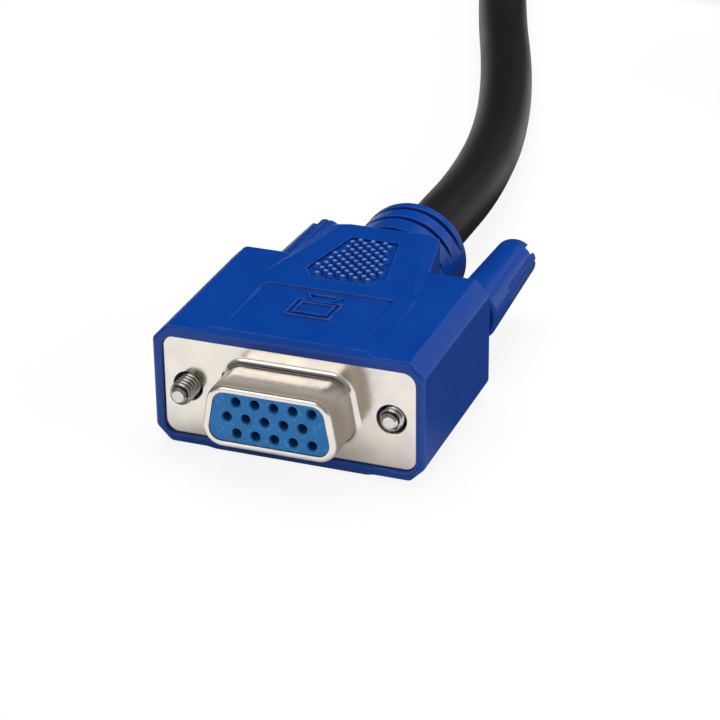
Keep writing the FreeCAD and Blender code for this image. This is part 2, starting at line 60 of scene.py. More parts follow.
WHITE = (1.0, 1.0, 1.0, 1.0)
PHOTO_SIDE = 720
GROOVE_ATTRIBUTE = "root_shade"
DRAWN_ATTRIBUTE = "drawn"
WEAVE_MAP = "weave"
LOG = logging.getLogger("video_cable")

Pair = tuple[float, float]
Colour = tuple[float, float, float]
Point = tuple[float, float, float]
Material = bpy.types.Material
Object = bpy.types.Object
Socket = bpy.types.NodeSocket
PlaceTest = Callable[[Vector], bool]


class Slot(Enum):
    """Material slots of the record."""

    MOULDING = "blue_moulding"
    NICKEL = "nickel_plate"
    STEEL = "screw_steel"
    INSULATOR = "insulator_blue"
    GILT = "contact_gilt"
    SLEEVE = "wire_sleeve"
    JACKET = "cable_jacket"
    STRAP = "strap"


Finishes = dict[Slot, Material]


def show(name: str, data: bpy.types.ID) -> Object:
    """Adds an object to the scene.

    Args:
        name: The object's name.
        data: Its mesh, curve, lamp or camera.

    Returns:
        The new object.
    """
    shown = bpy.data.objects.new(name, data)
    bpy.context.scene.collection.objects.link(shown)
    return shown


# Shader graphs

class Graph:
    """The node tree of a material or a world, with short calls to add and join nodes."""

    def __init__(self, owner: Material | bpy.types.World) -> None:
        """Empties the owner's tree and adds its output.

        Args:
            owner: The material or world.
        """
        owner.use_nodes = True
        self.tree = owner.node_tree
        self.tree.nodes.clear()
        is_world = isinstance(owner, bpy.types.World)
        self.output = self.add("OutputWorld" if is_world else "OutputMaterial")

    def add(self, kind: str, *sources: Socket, **settings: object) -> bpy.types.Node:
        """Adds a node.

        Args:
            kind: The node's type without its ShaderNode prefix.
            sources: Sockets to join to the node's inputs in order.
            settings: Attributes of the node, or values or sources of inputs of that name.

        Returns:
            The new node.
        """
        node = self.tree.nodes.new("ShaderNode" + kind)
        for key, value in settings.items():
            if hasattr(node, key):
                setattr(node, key, value)
            else:
                self.feed(node, key, value)
        for source, target in zip(sources, node.inputs):
            self.tree.links.new(source, target)
        return node

    def feed(self, node: bpy.types.Node, key: str, value: object) -> None:
        """Gives an input a value or a source.

        Args:
            node: The input's node.
            key: The input's name, with underscores for spaces.
            value: A plain value, or the socket to join to the input.
        """
        target = node.inputs[key.replace("_", " ")]
        if isinstance(value, Socket):
            self.tree.links.new(value, target)
        else:
            target.default_value = value

    def coordinates(self, scale: Sequence[float] = (1.0, 1.0, 1.0)) -> Socket:
        """Object coordinates in metres, scaled along each axis."""
        place = self.add("TexCoord").outputs["Object"]
        return self.add("Mapping", Vector=place, Scale=scale).outputs["Vector"]

    def noise(self, vector: Socket, scale: float, detail: float = 3.0) -> Socket:
        """Fractal noise at a place, with so many cells per metre and so many octaves."""
        return self.add("TexNoise", Vector=vector, Scale=scale, Detail=detail).outputs[0]

    def ramp(self, value: Socket, source: Pair = (0.0, 1.0), target: Pair = (0.0, 1.0)) -> Socket:
        """Maps one range of a value to another and holds it there."""
        ends = {"From_Min": source[0], "From_Max": source[1], "To_Min": target[0], "To_Max": target[1]}
        return self.add("MapRange", Value=value, **ends).outputs["Result"]

    def math(self, operation: str, first: Socket, second: Socket) -> Socket:
        """Joins two values by a named operation."""
        return self.add("Math", first, second, operation=operation).outputs[0]

    def tint(self, value: Socket, low: Colour, high: Colour) -> Socket:
        """Blends from one linear colour at 0 to another at 1."""
        return self.add("MixRGB", Fac=value, Color1=(*low, 1.0), Color2=(*high, 1.0)).outputs["Color"]

    def cover(self, base: Socket, colour: Colour, share: Socket) -> Socket:
        """Lays a linear colour over another where a share says so."""
        return self.add("MixRGB", Fac=share, Color1=base, Color2=(*colour, 1.0)).outputs["Color"]

    def edges(self, radius: float, lowest: float) -> Socket:
        """Share that rises from 0 on flats to 1 at edges.

        Args:
            radius: How far from an edge the share starts to rise, in metres.
            lowest: Agreement of the flat and the rounded normal at which the share is 1.

        Returns:
            The share's socket.
        """
        rounded = self.add("Bevel", samples=4, Radius=radius).outputs["Normal"]
        flat = self.add("NewGeometry").outputs["Normal"]
        agree = self.add("VectorMath", rounded, flat, operation="DOT_PRODUCT")
        return self.ramp(agree.outputs["Value"], (1.0, lowest))

    def corner_shading(self, distance: float, free: Pair = (0.92, 0.5)) -> Socket:
        """Share of painted corner shade, from 0 in the open to 1 in corners, by the part of directions free
        of near walls.
        """
        node = self.add("AmbientOcclusion", samples=6, only_local=True, Distance=distance)
        return self.ramp(node.outputs["AO"], free)

    def bump(self, height: Socket, depth: float) -> Socket:
        """Surface relief from a height of 0 to 1, which stands for a depth in metres."""
        return self.add("Bump", Height=height, Strength=1.0, Distance=depth).outputs["Normal"]

    def close(self, shader: bpy.types.Node, **inputs: Socket) -> None:
        """Joins sources to a shader's inputs and the shader to the output.

        Args:
            shader: The shader.
            inputs: Sources of its inputs of that name.
        """
        for key, source in inputs.items():
            self.feed(shader, key, source)
        self.tree.links.new(shader.outputs[0], self.output.inputs["Surface"])


def shade(colour: Colour, factor: float) -> Colour:
    """A colour made lighter or darker by a factor."""
    return tuple(min(1.0, channel * factor) for channel in colour)


# Finishes

@dataclass(frozen=True)
class MouldedPlastic:
    """Moulded plastic with a fine texture and faint colour drift.

    Where asked, it adds pale specks of wear, a painted highlight along edges and on upward-facing tops, and
    painted shade, darker and less glossy, in corners. Scales are in noise cells per metre, reaches in
    millimetres.
    """

    name: str
    colour: Colour
    roughness: float = 0.36
    specular: float = 0.3
    drift: float = 0.16
    cloud: float = 150.0
    grain: float = 5200.0
    grain_depth: float = 8e-6
    # Colour of the painted highlights on edges and upward tops, also of pale specks of wear.
    highlight_and_wear: Colour = (0.07, 0.16, 0.50)
    edge_highlight_share: float = 0.0
    # Colour of the painted shade in corners.
    corner_shade: Colour = (0.0, 0.0, 0.0)
    corner_shade_share: float = 0.0
    specks: float = 0.0
    top_highlight_share: float = 0.0
    cloud_range: Pair = (0.25, 0.75)
    gloss_drift: float = 0.05
    edge_highlight_least: float = 0.25
    edge_highlight_fineness: float = 4.0
    edge_highlight_patches: Pair = (0.35, 0.65)
    edge_highlight_reach: float = 0.25
    edge_highlight_turn: float = 0.9
    corner_shade_reach: float = 0.9
    corner_shade_specular: float = 0.05
    speck_scale: float = 1700.0
    speck_peaks: Pair = (0.58, 0.70)
    top_highlight_slope: Pair = (0.80, 0.96)

    def build(self) -> Material:
        """Makes the material.

        Returns:
            The material.
        """
        material = bpy.data.materials.new(self.name)
        graph = Graph(material)
        place = graph.coordinates()
        shader = graph.add("BsdfPrincipled", Specular_IOR_Level=self.specular)
        cloud = graph.noise(place, self.cloud, detail=5.0)
        grain = graph.noise(place, self.grain, detail=2.0)
        colour = graph.tint(cloud, shade(self.colour, 1 - self.drift), shade(self.colour, 1 + self.drift))
        # Painted highlight along edges, broken into patches.
        if self.edge_highlight_share:
            shares = (self.edge_highlight_least * self.edge_highlight_share, self.edge_highlight_share)
            patches = graph.noise(place, self.edge_highlight_fineness * self.cloud)
            patchy = graph.ramp(patches, self.edge_highlight_patches, shares)
            painted_share = graph.math("MULTIPLY", graph.edges(self.edge_highlight_reach * MM, self.edge_highlight_turn), patchy)
            colour = graph.cover(colour, self.highlight_and_wear, painted_share)
        # Painted shade in corners: darker and less glossy where ambient occlusion finds near walls.
        if self.corner_shade_share:
            corner = graph.corner_shading(self.corner_shade_reach * MM)
            colour = graph.cover(colour, self.corner_shade, graph.ramp(corner, target=(0.0, self.corner_shade_share)))
            shaded_gloss = graph.ramp(corner, target=(self.specular, self.corner_shade_specular))
            graph.feed(shader, "Specular_IOR_Level", shaded_gloss)
        # Painted highlight on upward-facing tops: the more a face looks up, the paler it gets.
        if self.top_highlight_share:
            axes = graph.add("SeparateXYZ", graph.add("NewGeometry").outputs["Normal"])
            top_highlight = graph.ramp(axes.outputs["Z"], self.top_highlight_slope, (0.0, self.top_highlight_share))
            colour = graph.cover(colour, self.highlight_and_wear, top_highlight)
        if self.specks:
            fleck = graph.noise(place, self.speck_scale, detail=4.0)
            share = graph.ramp(fleck, self.speck_peaks, (0.0, self.specks))
            colour = graph.cover(colour, self.highlight_and_wear, share)
        ends = (self.roughness - self.gloss_drift, self.roughness + self.gloss_drift)
        spread = graph.ramp(cloud, self.cloud_range, ends)
        relief = graph.bump(grain, self.grain_depth)
        graph.close(shader, Base_Color=colour, Roughness=spread, Normal=relief)
        return material


@dataclass(frozen=True)
class PlatedMetal:
    """Plated metal with a drawn grain and blotches of tarnish, and where asked, painted shade in thread
    roots and a painted brown-grey reflection laid on as a matte coat.
    """

    name: str
    colour: Colour
    tarnish: Colour
    roughness: float = 0.26
    blotch: float = 330.0
    blotch_range: Pair = (0.36, 0.68)
    grain_scale: Sequence[float] = (700.0, 2600.0, 2600.0)
    grain_range: Pair = (0.3, 0.7)
    grain_depth: float = 2e-6
    gloss_drift: float = 0.25
    # Colour of the painted shade in thread roots.
    root_shade: Colour = (0.02, 0.017, 0.013)
    shaded_roots: bool = False
    root_shade_depths: Pair = (0.15, 0.8)
    # Colour of the painted brown-grey reflection on a shroud.
    painted_reflection: Colour = (0.20, 0.152, 0.102)
    painted_reflection_share: float = 0.0
    painted_reflection_rise: Pair = (0.48, 0.85)
    painted_reflection_fade: Pair = (0.93, 0.97)
    painted_reflection_roughness: float = 0.3

    def build(self) -> Material:
        """Makes the material.

        Returns:
            The material.
        """
        material = bpy.data.materials.new(self.name)
        graph = Graph(material)
        shader = graph.add("BsdfPrincipled", Metallic=1.0)
        cloud = graph.noise(graph.coordinates(), self.blotch, detail=6.0)
        blotch = graph.ramp(cloud, self.blotch_range)
        grain = graph.noise(graph.coordinates(self.grain_scale), scale=1.0, detail=4.0)
        colour = graph.tint(blotch, self.colour, self.tarnish)
        # Painted shade: thread roots darkened by the thread's depth.
        if self.shaded_roots:
            depth = graph.add("Attribute", attribute_name=GROOVE_ATTRIBUTE)
            colour = graph.cover(colour, self.root_shade, graph.ramp(depth.outputs["Fac"], self.root_shade_depths))
        ends = ((1 - self.gloss_drift) * self.roughness, (1 + self.gloss_drift) * self.roughness)
        spread = graph.ramp(grain, self.grain_range, ends)
        # Painted reflection: near the shroud's lip and on its side walls, a matte brown-grey coat replaces
        # the metal.
        if self.painted_reflection_share:
            drawn = graph.add("Attribute", attribute_name=DRAWN_ATTRIBUTE).outputs["Fac"]
            rise = graph.ramp(drawn, self.painted_reflection_rise, (0.0, self.painted_reflection_share))
            painted_reflection = graph.math("MULTIPLY", rise, graph.ramp(drawn, self.painted_reflection_fade, (1.0, 0.0)))
            colour = graph.cover(colour, self.painted_reflection, painted_reflection)
            graph.feed(shader, "Metallic", graph.ramp(painted_reflection, target=(1.0, 0.0)))
            spread = graph.math("ADD", spread, graph.ramp(painted_reflection, target=(0.0, self.painted_reflection_roughness)))
        relief = graph.bump(grain, self.grain_depth)
        graph.close(shader, Base_Color=colour, Roughness=spread, Normal=relief)
        return material


@dataclass(frozen=True)
class WovenStrap:
    """Woven tape with a soft nap, laid out along its own length and width."""

    name: str
    colour: Colour
    pitch: float = 0.9
    relief: float = 0.12
    roughness: float = 0.88
    sheen: float = 0.3
    unevenness: float = 0.6
    nap_scale: float = 3800.0
    nap_shades: Pair = (0.55, 1.7)

    def build(self) -> Material:
        """Makes the material.

        Returns:
            The material.
        """
        material = bpy.data.materials.new(self.name)
        graph = Graph(material)
        shader = graph.add("BsdfPrincipled", Roughness=self.roughness, Sheen_Weight=self.sheen)
        layout = graph.add("UVMap", uv_map=WEAVE_MAP).outputs["UV"]
        scale = 1.0 / (self.pitch * math.pi)
        threads = []
        for direction in ("X", "Y"):
            wave = graph.add(
                "TexWave", layout, bands_direction=direction, Scale=scale, Distortion=self.unevenness,
            )
            threads.append(wave.outputs["Fac"])
        weave = graph.math("MAXIMUM", *threads)
        nap = graph.noise(graph.coordinates(), self.nap_scale, detail=4.0)
        height = graph.math("ADD", weave, nap)
        dark, pale = self.nap_shades
        colour = graph.tint(nap, shade(self.colour, dark), shade(self.colour, pale))
        graph.close(shader, Base_Color=colour, Normal=graph.bump(height, self.relief * MM))
        return material


# Blue moulding with painted edge highlights and painted shade in corners.
MOULDING = MouldedPlastic(
    "blue_moulding", (0.0012, 0.046, 0.290), edge_highlight_share=0.85,
    corner_shade=(0.0004, 0.012, 0.095), corner_shade_share=0.85,
)
# Finish of the grip's stud tips, with a painted highlight on their tops.
TOP_HIGHLIGHT_MOULDING = replace(MOULDING, name="top_highlight_moulding", highlight_and_wear=(0.15, 0.29, 0.72), top_highlight_share=0.85)
RECIPES = {
    Slot.MOULDING: MOULDING,
    Slot.JACKET: MouldedPlastic(
        "cable_jacket", (0.0118, 0.0116, 0.0120), roughness=0.44, specular=0.22,
        drift=0.25, cloud=90.0, grain=3600.0, grain_depth=1.2e-5,
    ),
    Slot.INSULATOR: MouldedPlastic(
        "insulator_blue", (0.010, 0.165, 0.455), roughness=0.46, specks=0.3,
        drift=0.2, cloud=420.0, grain=6000.0, grain_depth=4e-6,
        highlight_and_wear=(0.22, 0.45, 0.66), edge_highlight_share=0.35, corner_shade=(0.004, 0.05, 0.15), corner_shade_share=0.75,
    ),
    Slot.SLEEVE: MouldedPlastic("wire_sleeve", (0.45, 0.45, 0.43)),
    Slot.STRAP: WovenStrap("tie_strap", (0.022, 0.022, 0.024)),
    Slot.NICKEL: PlatedMetal(
        "nickel_plate", (0.84, 0.780, 0.680), tarnish=(0.73, 0.695, 0.675), roughness=0.19, painted_reflection_share=0.85,
    ),
    Slot.STEEL: PlatedMetal(
        "screw_steel", (0.74, 0.715, 0.67), tarnish=(0.6, 0.575, 0.53), roughness=0.22, shaded_roots=True,
    ),
    Slot.GILT: PlatedMetal(
        "contact_gilt", (0.80, 0.57, 0.22), tarnish=(0.62, 0.43, 0.18), roughness=0.3,
    ),
}


# Studio

@dataclass(frozen=True)
class SoftBox:
    """A square area lamp that hangs at a place and faces the connector."""

    name: str
    place: Point
    side: float
    power: float
    in_gloss: bool = True
    in_diffuse: bool = True

    def build(self) -> None:
        """Hangs the lamp."""
        data = bpy.data.lights.new(self.name, "AREA")
        data.size = self.side
        data.energy = self.power
        lamp = show(self.name, data)
        lamp.location = self.place
        lamp.rotation_euler = (-Vector(self.place)).to_track_quat("-Z", "Y").to_euler()
        lamp.visible_glossy = self.in_gloss
        lamp.visible_diffuse = self.in_diffuse


@dataclass
class Studio:
    """Camera at the photograph's viewing angle, a pale floor and soft light."""

    azimuth: float = 20.73
    elevation: float = 26.56
    roll: float = -0.61
    distance: float = 289.98 * MM
    focal_pixels: float = 2545.87
    aim_right: float = 8.35 * MM
    aim_up: float = 4.86 * MM
    sensor: float = 36.0
    nearest: float = 0.01
    floor_side: float = 6.0
    floor_colour: Colour = (0.90, 0.90, 0.90)
    shadow_share: float = 0.12
    room_colour: Colour = (1.0, 0.97, 0.93)
    room_front: float = 0.36
    room_back: float = 0.015
    dark_from: float = 0.35
    floor_back: float = 0.05
    dark_start: Pair = (-0.018, 0.004)
    dark_end: Pair = (0.070, 0.095)
    lamps: tuple[SoftBox, ...] = (
        SoftBox("ceiling", (-0.10, 0.30, 1.0), side=0.9, power=11.2, in_gloss=False),
        SoftBox("front_left", (-0.30, -0.72, 0.40), side=0.5, power=1.1),
        SoftBox("right_fill", (0.75, -0.10, 0.45), side=0.4, power=3.0, in_gloss=False),
        SoftBox("back_right", (0.25, 0.92, 0.55), side=0.3, power=0.34, in_diffuse=False),
        SoftBox("low_right", (0.48, 0.84, 0.17), side=0.3, power=0.33, in_diffuse=False),
    )

    def add_camera(self, centre: Vector) -> None:
        """Places the camera.

        Args:
            centre: Where the contact grid's axis crosses the plane of the socket's front rim.
        """
        turn, tilt, lean = map(math.radians, (self.azimuth, self.elevation, self.roll))
        back = Vector((math.sin(turn) * math.cos(tilt), -math.cos(turn) * math.cos(tilt), math.sin(tilt)))
        level = Vector((math.cos(turn), math.sin(turn), 0.0))
        upright = back.cross(level)
        right = level * math.cos(lean) + upright * math.sin(lean)
        up = upright * math.cos(lean) - level * math.sin(lean)
        data = bpy.data.cameras.new("photo_camera")
        data.sensor_width = self.sensor
        data.lens = self.sensor * self.focal_pixels / PHOTO_SIDE
        data.clip_start = self.nearest
        camera = show("photo_camera", data)
        place = centre + right * self.aim_right + up * self.aim_up + back * self.distance
        camera.matrix_world = Matrix.Translation(place) @ Matrix((right, up, back)).transposed().to_4x4()
        bpy.context.scene.camera = camera

    def add_floor(self) -> None:
        """Lays a white floor that keeps part of the shadow; seen in reflections beside the socket it is a
        dim glow, a painted shade.
        """
        mesh = bpy.data.meshes.new("floor")
        half = self.floor_side / 2
        corners = [(-half, -half, 0), (half, -half, 0), (half, half, 0), (-half, half, 0)]
        mesh.from_pydata(corners, [], [(0, 1, 2, 3)])
        floor = show("floor", mesh)
        material = bpy.data.materials.new("floor_paper")
        graph = Graph(material)
        path = graph.add("LightPath")
        axes = graph.add("SeparateXYZ", graph.coordinates())
        strength = graph.ramp(path.outputs["Is Camera Ray"], target=(self.floor_back, 1.0))
        paper = graph.add("BsdfDiffuse", Color=(*self.floor_colour, 1.0)).outputs[0]
        glow = graph.add("Emission", Color=WHITE, Strength=strength).outputs[0]
        seen = graph.ramp(path.outputs["Is Camera Ray"], target=(0.0, 1 - self.shadow_share))
        # Painted shade in reflections: beside the socket, glossy rays see the floor as a dim glow.
        near = graph.ramp(axes.outputs["Y"], self.dark_start)
        far = graph.ramp(axes.outputs["Y"], self.dark_end, (1.0, 0.0))
        beside = graph.math("MULTIPLY", near, far)
        seen = graph.math("MAXIMUM", seen, graph.math("MULTIPLY", path.outputs["Is Glossy Ray"], beside))
        graph.close(graph.add("MixShader", seen, paper, glow))
        mesh.materials.append(material)

    def add_world(self) -> None:
        """Fills the room with a dim light, stronger from the front, before a white backdrop."""
        world = bpy.data.worlds.new("soft_room")
        bpy.context.scene.world = world
        graph = Graph(world)
        axes = graph.add("SeparateXYZ", graph.add("TexCoord").outputs["Generated"])
        strength = graph.ramp(axes.outputs["Y"], (-1.0, self.dark_from), (self.room_front, self.room_back))
        room = graph.add("Background", Color=(*self.room_colour, 1.0), Strength=strength).outputs[0]
        backdrop = graph.add("Background", Color=WHITE).outputs[0]
        seen = graph.add("LightPath").outputs["Is Camera Ray"]
        graph.close(graph.add("MixShader", seen, room, backdrop))

    def build(self, centre: Vector) -> None:
        """Sets up the whole studio around the socket.

        Args:
            centre: The same as for add_camera.
        """
        bpy.context.scene.view_settings.view_transform = "Standard"
        self.add_camera(centre)
        self.add_floor()
        self.add_world()
        for lamp in self.lamps:
            lamp.build()


# Cable

@dataclass(frozen=True)
class CoilMove:
    """One step to the next column or layer as the coil is wound, in degrees of winding."""

    start: float
    span: float
    inward: float = 0.0
    up: float = 0.0

    def share(self, wound: float) -> float:
        """Smooth progress of the step, from 0 to 1, when so many degrees are wound."""
        reach = min(1.0, max(0.0, (wound - self.start) / self.span))
        return reach * reach * (3 - 2 * reach)


@dataclass
class CableRun:
    """The jacketed cable: its lead, its put-away coil and the run to its plug, as one smooth curve."""

    diameter: float = 8.0
    grip: float = 9.0
    real_length: float = 0.87
    tie_thickness: float = 0.8
    mean_diameters: float = 10.0
    columns: int = 2
    layers: int = 2
    whole_turns: int = 2
    points_per_turn: int = 24
    axis_height: float = 8.03
    jacket_end: float = 22.95
    tail_angle: float = -24.0
    tail_run: float = 22.0
    jacket_sides: int = 10
    moves: tuple[CoilMove, ...] = (
        CoilMove(start=240.0, span=120.0, inward=1.0),
        CoilMove(start=530.0, span=70.0, up=1.0),
        CoilMove(start=770.0, span=120.0, inward=-1.0),
    )
    lead: list[Vector] = field(init=False)
    coil_line: float = field(init=False)
    mean: float = field(init=False)
    outer: float = field(init=False)
    centre: Vector = field(init=False)

    def __post_init__(self) -> None:
        """Writes the lead's points, the same as in the part's source, and places the coil."""
        floor = self.diameter / 2
        self.coil_line = floor + self.tie_thickness
        places = (
            (0.0, self.jacket_end, self.axis_height),
            (0.0, 38.8, self.axis_height),
            (-1.6, 61.8, 5.4),
            (-5.4, 85.8, floor),
            (-12.0, 109.8, floor),
            (-20.5, 133.8, floor),
            (-28.2, 158.6, floor),
            (-33.6, 184.0, floor),
            (-35.9, 206.6, self.coil_line),
        )
        self.lead = [Vector(place) for place in places]
        entry = self.lead[-1]
        run = entry - self.lead[-2]
        self.mean = self.mean_diameters * floor
        self.outer = self.mean + (self.columns - 1) * floor
        self.centre = entry + Vector((run.y, -run.x, 0.0)).normalized() * self.outer

    def coil_points(self) -> list[Vector]:
        """Works out the coil's turns, from the lead's end to where the top turn leaves for the plug.

        Returns:
            The turns' points.
        """
        entry = self.lead[-1] - self.centre
        first = math.degrees(math.atan2(entry.y, entry.x)) % 360
        sweep = first - self.tail_angle + 360 * self.whole_turns
        steps = round(sweep / 360 * self.points_per_turn)
        points = []
        for step in range(1, steps + 1):
            wound = sweep * step / steps
            angle = math.radians(first - wound)
            reach = self.outer - self.diameter * sum(move.inward * move.share(wound) for move in self.moves)
            climb = self.diameter * sum(move.up * move.share(wound) for move in self.moves)
            offset = Vector((reach * math.cos(angle), reach * math.sin(angle), climb))
            points.append(Vector((self.centre.x, self.centre.y, self.coil_line)) + offset)
        return points

    def tail_points(self, leave: Vector) -> list[Vector]:
        """Route from the coil's top turn down to the plug.

        Args:
            leave: Where the top turn ends.

        Returns:
            The route's points.
        """
        angle = math.radians(self.tail_angle)
        ahead = Vector((math.sin(angle), -math.cos(angle), 0.0)) * self.tail_run
        turn = Vector((leave.x + ahead.x, leave.y + ahead.y, self.axis_height))
        return [turn, turn - Vector((0.0, self.tail_run, 0.0))]

    def build(self, finish: Material, on_cable: Iterable[Object]) -> None:
        """Args:
            finish: The jacket's material.
            on_cable: What lies on the cable: its tie and its plug; not used.
        """
        turns = self.coil_points()
        route = self.lead + turns + self.tail_points(turns[-1])
        data = bpy.data.curves.new("cable", "CURVE")
        data.dimensions = "3D"
        spline = data.splines.new("NURBS")
        spline.points.add(len(route) - 1)
        for point, place in zip(spline.points, route):
            point.co = (*(place * MM), 1.0)
        spline.order_u = 3
        spline.use_endpoint_u = True
        spline.resolution_u = 8
        spline.use_smooth = True
        data.bevel_depth = self.diameter / 2 * MM
        data.bevel_resolution = self.jacket_sides
        data.use_fill_caps = True
        data.materials.append(finish)
        cable = show("cable", data)
        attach(cable, "cable")
        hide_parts("cable_run", "cable_coil", "cable_tail")
        list(on_cable)
        LOG.info("cable drawn %.3f m long", spline.calc_length())


# Detail pieces

class MeshBuilder:
    """Collects the points and faces of one piece, in millimetres."""

    def __init__(self) -> None:
        """Starts an empty piece."""
        self.points: list[Vector] = []
        self.faces: list[tuple[int, ...]] = []
        self.layout: list[Pair] = []
        self.grooves: list[float] = []

    def ring(self, points: Iterable[Vector]) -> list[int]:
        """Adds a row of points.

        Args:
            points: The points.

        Returns:
            Their numbers.
        """
        first = len(self.points)
        self.points.extend(points)
        return list(range(first, len(self.points)))

    def bridge(self, first: Sequence[int], second: Sequence[int]) -> None:
        """Joins two closed rows of as many points by four-sided faces.

        Args:
            first: One row.
            second: The other row.
        """
        for i in range(len(first)):
            after = (i + 1) % len(first)
            self.faces.append((first[i], first[after], second[after], second[i]))

    def cap(self, row: Sequence[int]) -> None:
        """Closes a row with one flat face."""
        self.faces.append(tuple(row))

    def loft(self, rows: Sequence[Sequence[int]], closed: bool = False) -> None:
        """Joins closed rows one after the other.

        Args:
            rows: The rows, of as many points each.
            closed: Whether the last row runs on to the first, and isn't capped.
        """
        for first, second in zip(rows, rows[1:]):
            self.bridge(first, second)
        if closed:
            self.bridge(rows[-1], rows[0])
        else:
            self.cap(rows[0])
            self.cap(rows[-1])

    def build(self, name: str, material: Material, sharp: float) -> Object:
        """Makes the object, smooth but for edges that turn by more than an angle.

        Args:
            name: The object's name.
            material: Its finish.
            sharp: The angle in degrees from which an edge stays sharp.

        Returns:
            The new object.
        """
        mesh = bpy.data.meshes.new(name)
        mesh.from_pydata([point * MM for point in self.points], [], self.faces)
        if self.grooves:
            mesh.attributes.new(GROOVE_ATTRIBUTE, "FLOAT", "POINT").data.foreach_set("value", self.grooves)
        if self.layout:
            flat = [value for corner in mesh.loops for value in self.layout[corner.vertex_index]]
            mesh.uv_layers.new(name=WEAVE_MAP).uv.foreach_set("vector", flat)
        shape = bmesh.new()
        shape.from_mesh(mesh)
        bmesh.ops.remove_doubles(shape, verts=shape.verts, dist=WELD)
        bmesh.ops.recalc_face_normals(shape, faces=shape.faces)
        return finish_mesh(shape, mesh, material, sharp)


def finish_mesh(shape: bmesh.types.BMesh, mesh: bpy.types.Mesh, material: Material, sharp: float) -> Object:
    """Writes a worked shape to its mesh and makes the object.

    Args:
        shape: The shape, which is freed.
        mesh: The mesh to write to, which gives the object its name.
        material: The finish.
        sharp: The angle in degrees from which an edge stays sharp.

    Returns:
        The new object.
    """
    shape.to_mesh(mesh)
    shape.free()
    mesh.shade_smooth()
    mesh.set_sharp_from_angle(angle=math.radians(sharp))
    mesh.materials.clear()
    mesh.materials.append(material)
    return show(mesh.name, mesh)


@dataclass(frozen=True)
class ShroudReflection:
    """Where a painted brown-grey reflection, a matte coat, lies on a drawn shroud: near its lip and all
    along its side walls.
    """

    length: float = 6.15
    side_from: float = 0.66
    side_to: float = 0.95
    side_reflection: float = 0.78
    root_share: float = 0.05

    def mark(self, shape: bmesh.types.BMesh) -> None:
        """Marks how far each point lies along the shroud, from 0 at its root to 1 at its lip.

        Points on the side walls, which carry the painted reflection along their whole length, count as
        lying further on.

        Args:
            shape: The shell, with its lip in front.
        """
        layer = shape.verts.layers.float.new(DRAWN_ATTRIBUTE)
        lip = min(corner.co.y for corner in shape.verts)
        front = [corner.co.x for corner in shape.verts if corner.co.y < lip + self.length * MM / 2]
        middle = (min(front) + max(front)) / 2
        half = max(front) - middle
        for corner in shape.verts:
            along = max(0.0, 1.0 - (corner.co.y - lip) / (self.length * MM))
            out = (abs(corner.co.x - middle) / half - self.side_from) / (self.side_to - self.side_from)
            painted_share = self.side_reflection * min(max(out, 0.0), 1.0)
            corner[layer] = max(along, painted_share) if along > self.root_share else along


@dataclass(frozen=True)
class EdgeRounding:
    """Small rounds on the crisp edges of a moulded or stamped piece, as its tool leaves them."""

    width: float = 0.14
    segments: int = 3
    from_angle: float = 28.0
    flatness: float = 0.4
    painted_reflection: ShroudReflection | None = None

    def chains(self, edges: Iterable[bmesh.types.BMEdge]) -> list[list[bmesh.types.BMEdge]]:
        """Sorts edges into chains that touch.

        Args:
            edges: The edges to sort.

        Returns:
            One list of edges for each chain.
        """
        waiting = dict.fromkeys(edges)
        chains = []
        while waiting:
            chain = []
            border = [waiting.popitem()[0]]
            while border:
                edge = border.pop()
                chain.append(edge)
                for other in [*edge.verts[0].link_edges, *edge.verts[1].link_edges]:
                    if other in waiting:
                        del waiting[other]
                        border.append(other)
            chains.append(chain)
        return chains

    def build(
        self, node: str, body: str, slot: Slot, finishes: Finishes, spared: PlaceTest | None = None,
    ) -> Object:
        """Makes a copy of a node with rounded edges that stands in its place.

        Args:
            node: The node.
            body: The body it rides on.
            slot: Its material slot.
            finishes: The finish of every slot.
            spared: Whether an edge at a place, in metres, stays crisp. Without it, none does.

        Returns:
            The new piece.
        """
        shape = bmesh.new()
        shape.from_mesh(frame["nodes"][node].data)
        bmesh.ops.remove_doubles(shape, verts=shape.verts, dist=WELD)
        bmesh.ops.dissolve_limit(
            shape, angle_limit=math.radians(self.flatness), verts=shape.verts, edges=shape.edges,
        )
        limit = math.radians(self.from_angle)
        crisp = []
        for edge in shape.edges:
            middle = (edge.verts[0].co + edge.verts[1].co) / 2
            kept = spared is not None and spared(middle)
            if edge.is_manifold and edge.calc_face_angle() > limit and not kept:
                crisp.append(edge)
        for chain in self.chains(crisp):
            alive = [edge for edge in chain if edge.is_valid]
            bmesh.ops.bevel(
                shape, geom=alive, offset=self.width * MM, offset_type="OFFSET", segments=self.segments,
                profile=0.5, affect="EDGES", clamp_overlap=True,
            )
        # Marks where the painted reflection lies on the shroud.
        if self.painted_reflection:
            self.painted_reflection.mark(shape)
        mesh = bpy.data.meshes.new(node + "_rounded")
        piece = finish_mesh(shape, mesh, finishes[slot], self.from_angle)
        even = piece.modifiers.new("even_normals", "WEIGHTED_NORMAL")
        even.keep_sharp = True
        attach(piece, body)
        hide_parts(node)
        LOG.info("rounded %s", node)
        return piece


